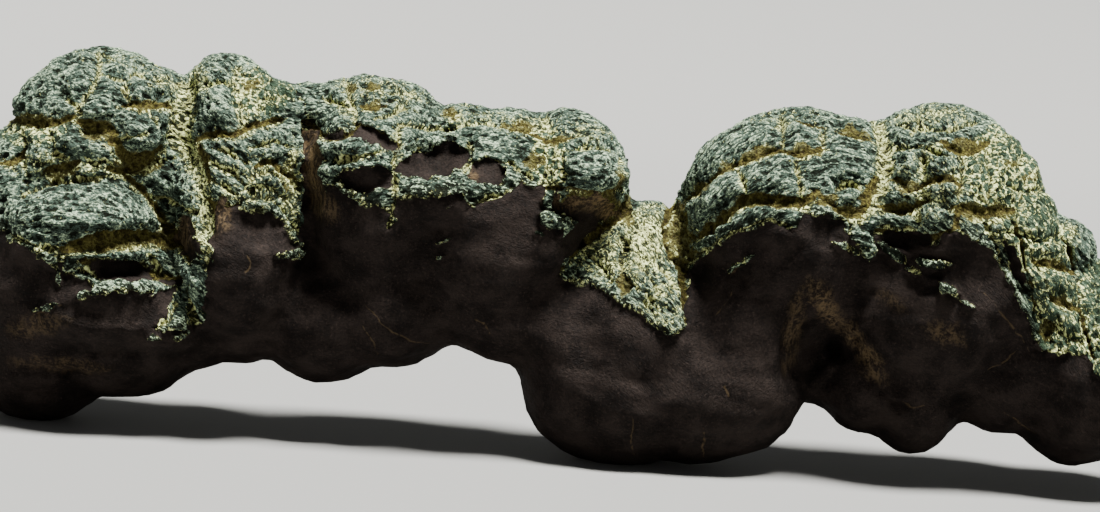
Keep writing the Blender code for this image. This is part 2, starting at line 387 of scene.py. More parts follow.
# Stains: (x, y) of the middle, half sizes, turn, strength.
CREAM = {
    "first_waist": (184, 100, 17, 40, 0, 1.0),
    "first_waist_top": (188, 80, 30, 24, 0, 1.0),
    "first_waist_low": (192, 160, 13, 34, -15, 1.0),
    "first_waist_tip": (204, 240, 14, 28, 0, 1.0),
    "crown_left": (36, 128, 34, 9, 0, 0.9),
    "knobs": (100, 166, 28, 13, 0, 0.8),
    "crown_right": (160, 78, 18, 16, 0, 0.7),
    "ring_top": (256, 72, 38, 16, 0, 0.5),
    "ring_right": (254, 98, 16, 32, 0, 0.7),
    "ring_edge": (292, 190, 12, 66, 0, 0.8),
    "middle_top": (346, 104, 10, 30, 0, 0.7),
    "middle_cross": (397, 150, 7, 34, 0, 0.8),
    "middle_right": (450, 116, 18, 9, 0, 0.7),
    "band": (520, 126, 34, 14, 0, 0.8),
    "end_left": (550, 160, 20, 38, 0, 0.8),
    "end_top": (590, 132, 40, 14, 0, 0.6),
    "end_edge": (626, 160, 8, 36, 0, 0.8),
    "saddle": (646, 240, 44, 50, 0, 1.0),
    "saddle_left": (606, 258, 34, 30, 0, 0.8),
    "saddle_low": (664, 300, 30, 36, 0, 0.7),
    "arch_cross": (781, 122, 8, 12, 0, 0.9),
    "arch_cross_right": (824, 134, 7, 10, 0, 0.9),
    "third_waist": (883, 155, 10, 36, 0, 1.0),
    "third_waist_low": (872, 205, 12, 16, 0, 0.8),
    "grid_cross": (924, 158, 6, 18, 0, 0.8),
    "grid_plates": (940, 188, 66, 46, 0, 0.6),
    "fold_top": (925, 112, 70, 20, 0, 0.7),
    "strip_top": (770, 112, 90, 16, -8, 0.5),
    "middle_high": (385, 92, 66, 22, 5, 0.6),
    "run_high": (500, 116, 66, 16, 5, 0.6),
    "ring_low": (252, 186, 46, 44, 0, 0.6),
    "crown_high": (130, 64, 60, 18, 10, 0.4),
    "pebbles": (40, 160, 46, 26, 0, 0.5),
    "crest_right": (994, 140, 16, 16, 0, 0.8),
    "flank": (1014, 185, 30, 44, 0, 0.5),
    "flank_mid": (1034, 262, 22, 20, 0, 0.7),
    "flank_knob": (1068, 232, 14, 24, 0, 1.0),
    "tail": (1092, 345, 16, 22, 0, 0.9),
}
OCHRE = {
    "crown_left": (30, 120, 36, 8, 3, 0.8),
    "crown_hollow": (98, 131, 19, 12, 0, 0.9),
    "ball_under": (140, 164, 27, 14, 0, 0.9),
    "ledge": (149, 104, 26, 6, 0, 1.0),
    "pebbles": (62, 173, 22, 7, -15, 0.9),
    "lens_under": (124, 241, 54, 8, -3, 1.0),
    "lens_end": (166, 238, 12, 12, 0, 1.0),
    "ring_left": (198, 155, 9, 16, 0, 0.8),
    "ring_top": (250, 84, 12, 7, 0, 0.8),
    "ring_brown": (220, 214, 18, 18, 0, 0.8),
    "ring_edge": (290, 178, 10, 30, 0, 0.5),
    "waist_valley": (312, 170, 9, 48, 0, 0.9),
    "middle_a": (372, 87, 10, 5, 0, 0.9),
    "middle_b": (374, 104, 10, 6, 0, 0.9),
    "middle_c": (350, 86, 5, 8, 0, 0.9),
    "middle_d": (450, 115, 11, 7, 0, 0.8),
    "band_a": (516, 125, 22, 6, 0, 0.9),
    "band_b": (557, 137, 20, 5, 0, 0.9),
    "pit": (533, 162, 11, 10, 0, 1.0),
    "end_under": (596, 206, 42, 16, 0, 1.2),
    "end_side": (624, 198, 9, 32, -8, 1.2),
    "arch_wall": (682, 232, 14, 38, -8, 1.0),
    "strip_gap_left": (699, 189, 16, 9, -38, 0.8),
    "strip_gap": (728, 168, 11, 9, -30, 0.8),
    "strip_gap_mid": (757, 152, 24, 8, -15, 1.0),
    "strip_gap_right": (804, 149, 22, 7, 0, 1.0),
    "strip_top": (855, 131, 20, 6, 8, 0.8),
    "strip_low": (768, 200, 38, 8, 0, 1.0),
    "knob_left": (830, 199, 13, 7, 0, 1.0),
    "knob_loop": (854, 211, 18, 8, 0, 1.0),
    "knob_right": (870, 190, 8, 16, 15, 1.0),
    "grid_a": (907, 186, 14, 8, 0, 1.0),
    "grid_b": (943, 178, 18, 5, 0, 0.9),
    "grid_c": (900, 208, 17, 7, 0, 1.0),
    "grid_d": (972, 210, 19, 11, 0, 1.0),
    "grid_e": (1004, 210, 13, 9, 0, 1.0),
    "grid_f": (970, 145, 22, 9, 0, 1.0),
    "flank_a": (1052, 262, 18, 6, 10, 0.8),
    "flank_b": (1066, 302, 13, 6, 20, 0.8),
    "flank_c": (1012, 165, 14, 7, 0, 0.6),
    "flank_d": (1030, 178, 12, 6, 0, 0.6),
    "pocket": (623, 286, 9, 15, 0, 1.0),
    "tail_gap": (1046, 332, 9, 13, 0, 1.0),
}

# The lower edge of the crust, from left to right; below it the stone is smooth and brown. The edge runs where
# the stone turns from lit to shaded, so the near-black brown below it is partly the stone's own colour and
# partly painted shade.
CRUST_EDGE = [
    (-60, 226), (0, 233), (10, 238), (20, 244), (28, 252), (38, 260), (50, 267), (57, 272), (62, 262),
    (66, 276), (76, 277), (79, 299), (92, 296), (100, 292), (118, 292), (128, 288), (136, 292), (144, 298),
    (152, 296), (155, 330), (192, 328), (204, 322), (206, 262), (213, 263), (216, 206), (236, 207),
    (248, 212), (264, 213), (280, 222), (294, 240), (302, 248), (304, 128), (316, 128), (319, 150),
    (322, 186), (338, 189), (352, 198), (366, 204), (376, 208), (384, 214), (393, 212), (398, 197),
    (420, 198), (440, 197), (455, 193), (464, 198), (476, 205), (484, 203), (500, 198), (512, 190),
    (521, 180), (530, 186), (543, 184), (546, 214), (551, 214), (555, 187), (561, 190), (564, 280),
    (590, 284), (616, 300), (636, 312), (658, 330), (687, 333), (691, 266), (702, 256), (720, 242),
    (740, 232), (765, 226), (782, 226), (796, 234), (803, 212), (826, 216), (842, 224), (856, 244),
    (870, 264), (879, 236), (900, 240), (936, 240), (955, 232), (985, 246), (1000, 264), (1020, 302),
    (1036, 340), (1048, 356), (1072, 356), (1084, 350), (1100, 378), (1160, 400),
]

# Patches of crust below that edge, and bare patches above it: middle, half sizes, turn. The bare patches lie
# where the stone is in shade, and their near-black brown is partly painted shade.
CRUST_LEFT = {
    "head_chip": (46, 308, 16, 4, -20),
    "head_drip": (59, 276, 3, 12, 5),
    "head_step": (76, 270, 13, 5, 12),
    "wedge_line": (181, 336, 12, 3, -16),
    "wedge_line_left": (155, 339, 8, 3, 0),
    "ring_lip": (288, 254, 15, 6, 0),
    "lens_line": (353, 194, 17, 3, 28),
    "bead_line": (396, 170, 4, 34, 0),
    "bead_patch": (386, 203, 10, 9, 0),
    "bead_drip": (390, 222, 4, 11, 20),
    "middle_chip_a": (446, 209, 9, 3, -20),
    "middle_chip_b": (444, 241, 11, 2.5, -12),
    "middle_chip_c": (438, 256, 5, 3, 0),
    "curl_a": (481, 194, 6, 9, 0),
    "curl_b": (503, 189, 11, 4, -25),
    "end_knob": (553, 219, 18, 10, 12),
    "end_chip": (541, 235, 6, 3, 0),
    "spur": (740, 263, 16, 4, -38),
    "jag_a": (846, 248, 16, 5, 20),
    "jag_b": (892, 252, 18, 7, 35),
    "jag_c": (932, 264, 24, 7, 8),
    "jag_d": (914, 272, 10, 5, 30),
    "jag_e": (948, 290, 16, 7, 40),
    "jag_f": (968, 303, 10, 4, 20),
    "flank": (1062, 350, 26, 8, 0),
}
CRUST_GONE = {
    "rim_shade": (124, 271, 40, 11, 2),
    "rim_shade_left": (76, 287, 19, 9, -20),
    "rim_shade_right": (171, 279, 15, 5, 0),
    "wedge_shade": (160, 305, 27, 11, -52),
    "slab_shade": (186, 240, 12, 28, -14),
    "ring_left": (222, 222, 12, 26, 0),
    "waist_valley": (310, 190, 8, 76, -3),
    "middle_notch": (332, 133, 16, 5, -12),
    "middle_gap": (373, 136, 31, 9, 26),
    "middle_lens": (366, 179, 32, 14, -4),
    "scoop": (424, 166, 28, 15, 0),
    "scoop_top": (446, 159, 24, 20, 0),
    "scoop_right": (487, 172, 23, 15, 12),
    "end_shade": (590, 210, 42, 15, -6),
    "end_shade_low": (580, 236, 32, 13, -48),
    "grid_shade": (912, 240, 34, 6, 5),
    "flank_shade": (1014, 262, 6, 34, -22),
}
PATCH_RIM = 0.25  # share of a patch's oval at which its edge lies
PATCH_SLOPE = 1.4  # how fast the crust deepens inside that edge
DEEPEST_CRUST = 20.0
TURNED_DOWN = (0.35, 0.85)  # how far hidden skin turns down before the crust begins to end, and has ended
TURNED_DOWN_LOSS = 16.0

# In the terms of the stains: tan stains on the smooth underside, and crust that is a lace of small cells.
TAN = {
    "waist_valley": (311, 160, 9, 56, -4, 0.9),
    "waist_valley_low": (324, 206, 14, 20, -35, 0.5),
    "end_wall": (582, 201, 40, 13, 0, 0.8),
    "end_wall_right": (613, 206, 20, 19, -20, 1.3),
    "scoop": (470, 173, 9, 7, 20, 1.0),
    "slab_shade": (180, 232, 12, 24, -20, 0.6),
    "ring_left": (220, 216, 14, 22, 0, 0.5),
    "arch_ridge": (826, 306, 12, 34, -28, 0.6),
    "arch_ridge_low": (862, 352, 12, 46, -32, 0.6),
    "arch_left": (795, 330, 10, 46, 8, 0.4),
    "arch_far": (946, 334, 26, 12, 25, 0.4),
    "jowl": (890, 300, 20, 9, 30, 0.35),
    "head": (36, 326, 34, 14, -10, 0.35),
    "head_low": (60, 366, 60, 8, 5, 0.3),
}
LACE = {
    "flank_high": (1006, 168, 44, 46, 30, 1.0),
    "flank_middle": (1036, 236, 34, 60, -15, 1.0),
    "flank_low": (1062, 318, 30, 60, -15, 1.0),
    "tail": (1096, 320, 20, 70, 0, 1.0),
    "crown_left": (30, 132, 36, 16, 0, 0.7),
    "ring_high": (262, 92, 34, 26, 0, 0.6),
    "end_left": (548, 158, 18, 36, 0, 0.9),
}
STAIN_RIM = 0.7  # how crisp the stains' rims are

# Across the grain, height is measured from this line, so the wrinkles run with it.
GRAIN_LINE = [
    (-60, 6), (0, 2), (60, -4), (120, 0), (165, 12), (205, 34), (250, 52), (300, 62), (400, 60), (500, 66),
    (615, 76), (640, 92), (690, 138), (700, 134), (740, 102), (780, 78), (830, 68), (880, 74), (940, 94),
    (1000, 132), (1040, 180), (1100, 270), (1160, 330),
]

# Waves that push the spots' rims about: height, how much of x and of y they follow, length, and start.
RAGGED_X = [(1.6, 0, 1, 5.3, 0.7), (1.1, 1, 1, 3.1, 0.0), (0.7, 1, -2, 4.7, 2.0)]
RAGGED_Y = [(1.2, 1, 0, 6.1, 1.9), (0.9, 1, -1, 3.7, 0.4), (0.6, 2, 1, 5.9, 0.0)]


# ---------- Wiring nodes ----------


class Bench:
    """Adds nodes to one tree and wires each of them to what feeds it."""

    def __init__(self, tree):
        self.tree = tree

    def add(self, kind, feeds=(), out=0, **settings):
        """One new node. Feeds are by order or by name, and out picks which of its outputs is given back."""
        node = self.tree.nodes.new(kind)
        for name, value in settings.items():
            setattr(node, name, value)
        sockets = [socket for socket in node.inputs if socket.enabled]
        if not isinstance(feeds, dict):
            feeds = dict(enumerate(feeds))
        for key, feed in feeds.items():
            if isinstance(key, int):
                socket = sockets[key]
            else:
                socket = next(item for item in sockets if item.name == key)
            if isinstance(feed, bpy.types.NodeSocket):
                self.tree.links.new(feed, socket)
            elif feed is not None:
                socket.default_value = feed
        outputs = [socket for socket in node.outputs if socket.enabled]
        if isinstance(out, int):
            return outputs[out]
        return next(socket for socket in outputs if socket.name == out)

    def math(self, operation, *feeds):
        return self.add("ShaderNodeMath", feeds, operation=operation)

    def chain(self, operation, *feeds):
        """All the feeds taken together by one operation."""
        result = feeds[0]
        for feed in feeds[1:]:
            result = self.math(operation, result, feed)
        return result

    def total(self, *feeds):
        return self.chain("ADD", *feeds)

    def product(self, *feeds):
        return self.chain("MULTIPLY", *feeds)

    def least(self, *feeds):
        return self.chain("MINIMUM", *feeds)

    def most(self, *feeds):
        return self.chain("MAXIMUM", *feeds)

    def less(self, value, taken):
        return self.math("SUBTRACT", value, taken)

    def ratio(self, value, size):
        return self.math("DIVIDE", value, size)

    def sunk(self, rise, depth):
        """Zero where rise is 1, and depth below where rise is 0."""
        return self.product(self.less(rise, 1.0), depth)

    def centred(self, value, height):
        """A noise value turned into a height either side of zero."""
        return self.product(self.less(value, 0.5), 2.0, height)

    def vector(self, operation, *feeds, out=0):
        return self.add("ShaderNodeVectorMath", feeds, operation=operation, out=out)

    def scaled(self, vector, amount):
        return self.add("ShaderNodeVectorMath", {"Vector": vector, "Scale": amount}, operation="SCALE")

    def step(self, value, low, high, to_low=0.0, to_high=1.0):
        """A soft step of value from low to high."""
        feeds = (value, low, high, to_low, to_high)
        return self.add("ShaderNodeMapRange", feeds, interpolation_type="SMOOTHSTEP")

    def noise(self, place, size, detail=2.0, roughness=0.5, out=0):
        feeds = {"Vector": place, "Scale": 1.0 / size, "Detail": detail, "Roughness": roughness}
        return self.add("ShaderNodeTexNoise", feeds, out=out)

    def ruffle(self, place, size):
        """A vector of noise, centred on zero."""
        return self.vector("SUBTRACT", self.noise(place, size, out="Color"), (0.5, 0.5, 0.5))

    def cell_edges(self, place, **feeds):
        """The distance to the edges of cells."""
        feeds = {"Vector": place, "Scale": 1.0} | feeds
        return self.add("ShaderNodeTexVoronoi", feeds, feature="DISTANCE_TO_EDGE")

    def mix(self, amount, low, high):
        return self.add("ShaderNodeMix", (amount, low, high), data_type="FLOAT")

    def colour(self, amount, low, high, blend="MIX"):
        return self.add("ShaderNodeMix", (amount, low, high), data_type="RGBA", blend_type=blend)


# ---------- The camera and its frame ----------


def camera_place():
    """Where the camera stands and how it is turned, round the resting piece."""
    reach = FRAME_WIDE * SCALE / (SENSOR / LENS)
    lift = math.radians(ELEVATION)
    back = Vector((0.0, -math.cos(lift), math.sin(lift)))
    look = (-back).to_track_quat("-Z", "Y").to_matrix().to_4x4()
    before_roll = Matrix.Translation((AIM + back * reach) * MM) @ look
    roll = Matrix.Rotation(math.radians(-LEAN), 4, "Y")
    return Matrix.Translation(LAID_DOWN * MM) @ roll @ before_roll


def add_camera():
    data = bpy.data.cameras.new("camera")
    data.lens = LENS
    data.sensor_width = SENSOR
    data.clip_start = NEAREST_SEEN * MM
    data.clip_end = FURTHEST_SEEN * MM
    camera = bpy.data.objects.new("camera", data)
    bpy.context.scene.collection.objects.link(camera)
    camera.matrix_world = camera_place()
    bpy.context.scene.camera = camera


def frame_steps(points):
    """The camera-frame x and y of each point, an array of row positions in metres."""
    inverse = np.array(camera_place().inverted())
    seen = points @ inverse[:3, :3].T + inverse[:3, 3]
    zoom = LENS / SENSOR * FRAME_WIDE / -seen[:, 2]
    return FRAME_WIDE / 2 + seen[:, 0] * zoom, FRAME_HIGH / 2 - seen[:, 1] * zoom


def frame_ray(x, y):
    """The camera's place and the direction in which it sees x, y."""
    place = camera_place()
    step = SENSOR / FRAME_WIDE
    seen = Vector(((x - FRAME_WIDE / 2) * step, (FRAME_HIGH / 2 - y) * step, -LENS))
    return place.translation, (place.to_3x3() @ seen).normalized()


# ---------- Mesh helpers ----------


def add_object(name, data):
    obj = bpy.data.objects.new(name, data)
    bpy.context.scene.collection.objects.link(obj)
    return obj


def settle(obj):
    """Turns obj's modifiers into its plain mesh."""
    bpy.context.view_layer.update()
    graph = bpy.context.evaluated_depsgraph_get()
    mesh = bpy.data.meshes.new_from_object(obj.evaluated_get(graph))
    obj.modifiers.clear()
    obj.data = mesh


def mesh_points(mesh):
    points = np.empty(len(mesh.vertices) * 3)
    mesh.vertices.foreach_get("co", points)
    return points.reshape(-1, 3)


def mesh_normals(mesh):
    normals = np.empty(len(mesh.vertices) * 3)
    mesh.vertex_normals.foreach_get("vector", normals)
    return normals.reshape(-1, 3)


def move_points(mesh, points):
    mesh.vertices.foreach_set("co", points.ravel())
    mesh.update()


def store_value(mesh, name, values):
    layer = mesh.attributes.new(name, "FLOAT", "POINT")
    layer.data.foreach_set("value", np.ascontiguousarray(values, dtype=np.float32))


def store_vector(mesh, name, values):
    layer = mesh.attributes.new(name, "FLOAT_VECTOR", "POINT")
    layer.data.foreach_set("vector", np.ascontiguousarray(values, dtype=np.float32).ravel())


def read_values(mesh, name):
    values = np.empty(len(mesh.vertices), dtype=np.float32)
    mesh.attributes[name].data.foreach_get("value", values)
    return values


def soft_step(values, low, high):
    steps = np.clip((values - low) / (high - low), 0.0, 1.0)
    return steps * steps * (3.0 - 2.0 * steps)


# ---------- The skin's large forms ----------


def soften(skin, steps):
    """Smooths the skin when it is next settled."""
    smooth = skin.modifiers.new("soften", "SMOOTH")
    smooth.factor = SOFTEN_SHARE
    smooth.iterations = steps


def copy_solid():
    """A merged copy of the solid piece, made into one fine, even skin."""
    solid = bmesh.new()
    solid.from_mesh(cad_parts["coprolite"].data)
    bmesh.ops.remove_doubles(solid, verts=solid.verts[:], dist=MERGE_GAP * MM)
    mesh = bpy.data.meshes.new("fossil_skin")
    solid.to_mesh(mesh)
    solid.free()
    skin = add_object("fossil_skin", mesh)
    remesh = skin.modifiers.new("even", "REMESH")
    remesh.mode = "VOXEL"
    remesh.voxel_size = SKIN_CELL * MM
    soften(skin, SOFTEN_STEPS)
    settle(skin)
    return skin


def ragged(x, y):
    """Camera-frame places pushed about a little, so that no spot has a ruled edge."""

    def push(waves):
        return sum(
            height * np.sin((across * x + down * y) / length + start)
            for height, across, down, length, start in waves
        )

    return x + push(RAGGED_X), y + push(RAGGED_Y)


def spot(x, y, middle_x, middle_y, half_x, half_y, turn):
    """1 in the middle of a turned oval, falling to 0 at its rim and beyond."""
    angle = math.radians(turn)
    along = (x - middle_x) * math.cos(angle) + (y - middle_y) * math.sin(angle)
    across = (y - middle_y) * math.cos(angle) - (x - middle_x) * math.sin(angle)
    return np.clip(1.0 - (along / half_x) ** 2 - (across / half_y) ** 2, 0.0, 1.0)


def facing(points, normals):
    """How squarely each point faces the camera, from 0 to 1, and the direction from it to the camera."""
    towards = np.array(camera_place().translation) - points
    towards /= np.linalg.norm(towards, axis=1, keepdims=True)
    return np.sum(towards * normals, axis=1), towards


def push_spots(skin):
    """Raises the bosses and sinks the hollows, straight towards and away from the camera."""
    mesh = skin.data
    points, normals = mesh_points(mesh), mesh_normals(mesh)
    square, towards = facing(points, normals)
    x, y = ragged(*frame_steps(points))
    height = np.zeros(len(points))
    for spots, sign in ((BOSSES, 1.0), (HOLLOWS, -1.0)):
        for *oval, rise, rim in spots.values():
            height += sign * rise * spot(x, y, *oval) ** rim
    height *= soft_step(square, *PUSH_FACING) * soft_step(points[:, 2], 0.0, FLOOR_BLEND * MM)
    move_points(mesh, points + towards * (height * MM)[:, None])
    soften(skin, SPOT_SOFTEN_STEPS)
    settle(skin)


def crust_depth(x, y, seen):
    """How far inside the crust each place is, in millimetres; below zero on the smooth underside."""
    depth = (np.interp(x, *np.transpose(CRUST_EDGE)) - y) * SCALE
    for patches, sign in ((CRUST_GONE, -1.0), (CRUST_LEFT, 1.0)):
        for oval in patches.values():
            share = spot(x, y, *oval)
            _, _, half_x, half_y, _ = oval
            inside = PATCH_SLOPE * min(half_x, half_y) * SCALE * (share - PATCH_RIM)
            changed = sign * np.maximum(sign * depth, inside)
            depth = np.where(share > 0.0, depth + (changed - depth) * seen, depth)
    return np.clip(depth, -DEEPEST_CRUST, DEEPEST_CRUST)


def mark_skin(skin):
    """Stores what the crack tree and the stone read: hidden parts, crust, stains, and the grain."""
    mesh = skin.data
    points, normals = mesh_points(mesh), mesh_normals(mesh)
    square, _ = facing(points, normals)
    true_x, true_y = frame_steps(points)
    x, y = ragged(true_x, true_y)
    seen = soft_step(square, *MARK_FACING)
    store_value(mesh, "hidden", 1.0 - seen)
    # Hidden skin that turns downward loses its crust to the near-black brown, which is partly painted shade.
    turned_down = TURNED_DOWN_LOSS * soft_step(-normals[:, 2], *TURNED_DOWN) * (1.0 - seen)
    store_value(mesh, "crust_mm", crust_depth(x, y, seen) - turned_down)
    for name, stains in (("cream", CREAM), ("ochre", OCHRE), ("tan", TAN), ("lace", LACE)):
        amount = np.zeros(len(points))
        for *oval, strength in stains.values():
            amount = np.maximum(amount, strength * spot(x, y, *oval) ** STAIN_RIM)
        store_value(mesh, name, amount * seen)
    grain = points / MM
    grain[:, 2] += SCALE * np.interp(true_x, *np.transpose(GRAIN_LINE))
    store_vector(mesh, "grain", grain)


# ---------- Casting the cracks' lines ----------

LINE_STEP = 1.5  # camera-frame steps between the points of a cast line
LINE_GAP = 20.0  # a line breaks where it would jump further than this
LINE_END = 0.04  # share of a line's length over which it doesn't taper further
END_WIDTH, END_DEPTH = 0.35, 0.3  # what is left of a line's width and depth at its very end


def curve(before, start, end, after, share):
    """A smooth curve's value, share of the way from start to end."""
    bend = 2 * before - 5 * start + 4 * end - after
    swing = 3 * start - before - 3 * end + after
    return 0.5 * (2 * start + (end - before) * share + bend * share**2 + swing * share**3)


def smooth_line(corners):
    """Points close together on a smooth curve through the corners, each with its share of the way along."""
    ends = [corners[0], *corners, corners[-1]]
    points = []
    for stretch in zip(ends, ends[1:], ends[2:], ends[3:]):
        count = max(2, round(math.dist(stretch[1], stretch[2]) / LINE_STEP))
        for step in range(count):
            points.append(tuple(curve(*along, step / count) for along in zip(*stretch)))
    points.append(corners[-1])
    return [(x, y, step / (len(points) - 1)) for step, (x, y) in enumerate(points)]


def cast_lines(name, lines, skin):
    """One object of bare edges, holding every line where the camera sees it on the skin."""
    points, edges, halves, depths = [], [], [], []
    for half, depth, corners in lines:
        last = None
        for x, y, share in smooth_line(corners):
            start, direction = frame_ray(x, y)
            hit, place, _, _ = skin.ray_cast(start, direction)
            if not hit:
                last = None
                continue
            taper = math.sin(math.pi * min(max(share, LINE_END), 1.0 - LINE_END)) ** 0.5
            points.append(place)
            halves.append(half * (END_WIDTH + (1.0 - END_WIDTH) * taper))
            depths.append(depth * (END_DEPTH + (1.0 - END_DEPTH) * taper))
            if last is not None and (place - points[last]).length < LINE_GAP * MM:
                edges.append((last, len(points) - 1))
            last = len(points) - 1
    mesh = bpy.data.meshes.new(name)
    mesh.from_pydata(points, edges, [])
    store_value(mesh, "half_mm", halves)
    store_value(mesh, "depth_mm", depths)
    return add_object(name, mesh)


def each_line(groups, size, cross_size=None):
    """Every line of the groups, with its half width and depth."""
    return [
        (*(cross_size if name.endswith("_cross") else size), corners)
        for name, lines in groups.items()
        for corners in lines
    ]


# ---------- Patterns of the skin and the stone ----------

CREST_WIDE, CREST_FINE = 3.8, 1.8  # sizes of the wrinkles on the plates
CREST_RUFFLE = (4.0, 0.66)  # detail and roughness of the noise behind them
CRUMB = 1.4
CRUMB_RUFFLE = (3.0, 0.7)
FEWEST_CRUMBS = 0.70  # level of the noise above which a crumb stands where there is no cream
CREAM_CRUMBS = 0.215  # how much lower that level is in full cream
GRAIN = (0.36, 0.8, 1.0)  # how the wrinkles are drawn out along the grain
LACE_CELL_SIZE, LACE_BEND, LACE_BEND_SIZE = 3.7, 2.6, 3.0
LACE_DRAW = (1.0, 0.8, 0.8)


def crest_gap(bench, grain, size):
    """How far a squiggling line that runs mostly with the grain is from each place: 0 on the line."""
    level = bench.noise(bench.vector("MULTIPLY", grain, GRAIN), size, *CREST_RUFFLE)
    return bench.math("ABSOLUTE", bench.less(level, 0.5))


def crumb_light(bench, grain, share, softness=0.05):
    """1 on crumbs and 0 between them; the larger the share of cream, the more crumbs."""
    grit = bench.noise(grain, CRUMB, *CRUMB_RUFFLE)
    limit = bench.less(FEWEST_CRUMBS, bench.product(bench.least(share, 1.0), CREAM_CRUMBS))
    return bench.step(bench.less(grit, limit), -softness, softness)


def lace_lines(bench, place):
    """1 on the walls of small cells, 0 inside them."""
    bend = bench.scaled(bench.ruffle(place, LACE_BEND_SIZE), LACE_BEND)
    moved = bench.vector("ADD", bench.vector("MULTIPLY", place, LACE_DRAW), bend)
    walls = bench.cell_edges(bench.scaled(moved, 1 / LACE_CELL_SIZE))
    return bench.step(walls, 0.06, 0.22, 1.0, 0.0)


# ---------- The crack tree ----------

TREE_INPUTS = {
    "Wander": 3.4,  # how far the cracks stray from their lines
    "Raggedness": 2.0,
    "Cell size": 27.0,
    "Cell crack width": 2.0,
    "Cell crack depth": 2.6,
    "Plate swell": 2.3,
    "Crust height": 0.9,
    "Lump height": 1.8,
    "Pebble height": 0.45,
    "Wrinkle height": 1.3,
    "Crumb height": 0.7,
    "Lace height": 0.9,
    "Trough width": 0.95,
    "Trough depth": 0.75,
    "Ledge height": 1.3,
}
WANDER_SIZE, RAGGED_SIZE = 10.0, 2.4
CELL_DRAW = (0.66, 0.9, 1.0)  # how the long cells are drawn out
CELL_SCATTER = 0.85  # how far those cells stray from an even grid
CELLS_AWAY = 40.0  # how far off the cells' cracks are put where lines are drawn
CELL_PATCH = 30.0  # size of the patches in which those cracks fade
UNEVEN = 6.0  # size of the patches in which cracks widen and cream thickens
EDGE_BAY, EDGE_BAY_DEPTH = 9.0, 4.5  # the crust's ragged edge, in the large
EDGE_NICK, EDGE_NICK_DEPTH = 2.2, 2.2  # and in the small
SWELL_REACH = 6.0  # a plate swells over this far from its cracks
LUMP_SIZE = 8.0
PEBBLE_SIZE, PEBBLE_DRAW, PEBBLE_LEVEL = 3.0, (0.55, 0.85, 1.0), 0.35
PEBBLE_PATCH = 13.0
LEDGE_SIZE, LEDGE_DRAW = 6.0, (0.22, 0.5, 1.0)
FLOOR_GAP = 0.2  # below this height there is no relief at all


def named(bench, name, kind="FLOAT"):
    return bench.add("GeometryNodeInputNamedAttribute", {"Name": name}, data_type=kind)


class Lines:
    """The nearest of one object's lines: how far off it is, its half width and depth, and how far above it
    the place is. The reach is the distance in half widths."""

    def __init__(self, bench, source, place, width=1.0):
        self.bench = bench
        self.lines = bench.add("GeometryNodeObjectInfo", {"Object": source}, out="Geometry")
        there = bench.scaled(place, MM)
        node = bench.tree.nodes.new("GeometryNodeProximity")
        node.target_element = "EDGES"
        bench.tree.links.new(self.lines, node.inputs[0])
        bench.tree.links.new(there, next(item for item in node.inputs if item.name == "Sample Position"))
        feeds = {"Geometry": self.lines, "Sample Position": there}
        self.index = bench.add("GeometryNodeSampleNearest", feeds, domain="POINT")
        self.distance = bench.product(node.outputs["Distance"], 1 / MM)
        offset = bench.vector("SUBTRACT", place, bench.scaled(node.outputs["Position"], 1 / MM))
        self.above = bench.add("ShaderNodeSeparateXYZ", (offset,), out=2)
        self.half = self.sample("half_mm")
        self.depth = self.sample("depth_mm")
        self.reach = bench.ratio(self.distance, bench.product(self.half, width))

    def sample(self, name):
        feeds = {"Geometry": self.lines, "Value": named(self.bench, name), "Index": self.index}
        return self.bench.add("GeometryNodeSampleIndex", feeds, data_type="FLOAT", domain="POINT")


def start_crack_tree(line_names):
    """An empty tree with all its named inputs."""
    tree = bpy.data.node_groups.new("cracked_skin", "GeometryNodeTree")
    tree.interface.new_socket("Geometry", in_out="INPUT", socket_type="NodeSocketGeometry")
    for name in line_names:
        tree.interface.new_socket(name, in_out="INPUT", socket_type="NodeSocketObject")
    for name, value in TREE_INPUTS.items():
        socket = tree.interface.new_socket(name, in_out="INPUT", socket_type="NodeSocketFloat")
        socket.default_value = value
    tree.interface.new_socket("Stone", in_out="INPUT", socket_type="NodeSocketMaterial")
    tree.interface.new_socket("Geometry", in_out="OUTPUT", socket_type="NodeSocketGeometry")
    return tree


def stray(bench, place, given):
    """The place moved along the skin by a slow wander and a fine one, so that lines wander and are ragged."""
    slow = bench.scaled(bench.ruffle(place, WANDER_SIZE), given["Wander"])
    fine = bench.scaled(bench.ruffle(place, RAGGED_SIZE), given["Raggedness"])
    shift = bench.vector("ADD", slow, fine)
    normal = bench.add("GeometryNodeInputNormal")
    outward = bench.scaled(normal, bench.vector("DOT_PRODUCT", shift, normal, out="Value"))
    return bench.vector("ADD", place, bench.vector("SUBTRACT", shift, outward))


def crust_edge(bench, place):
    """How far inside the crust's ragged edge each place is."""
    bays = bench.centred(bench.noise(place, EDGE_BAY), EDGE_BAY_DEPTH)
    nicks = bench.centred(bench.noise(place, EDGE_NICK), EDGE_NICK_DEPTH)
    return bench.total(named(bench, "crust_mm"), bays, nicks)


def cell_cracks(bench, place, strayed, hidden, given):
    """Distance to the edges of long cells, which stand in for cracks where no line is drawn."""
    cell_place = bench.vector("DIVIDE", bench.vector("MULTIPLY", strayed, CELL_DRAW), given["Cell size"])
    distance = bench.product(bench.cell_edges(cell_place, Randomness=CELL_SCATTER), given["Cell size"])
    away = bench.product(bench.less(1.0, hidden), CELLS_AWAY)
    narrow = bench.step(bench.noise(place, CELL_PATCH), 0.5, 0.66, 0.0, 1.1)
    return bench.total(distance, away, narrow)


def trough_shape(bench, troughs, given):
    """The troughs' depth: steep under the plate above, and sloping up onto the plate below."""
    over = bench.step(bench.ratio(troughs.above, bench.total(troughs.distance, 0.5)), -0.5, 0.4)
    steep = bench.step(troughs.reach, 0.7, 1.05)
    sloping = bench.step(troughs.reach, 0.4, 1.3)
    return bench.sunk(bench.mix(over, sloping, steep), bench.product(troughs.depth, given["Trough depth"]))


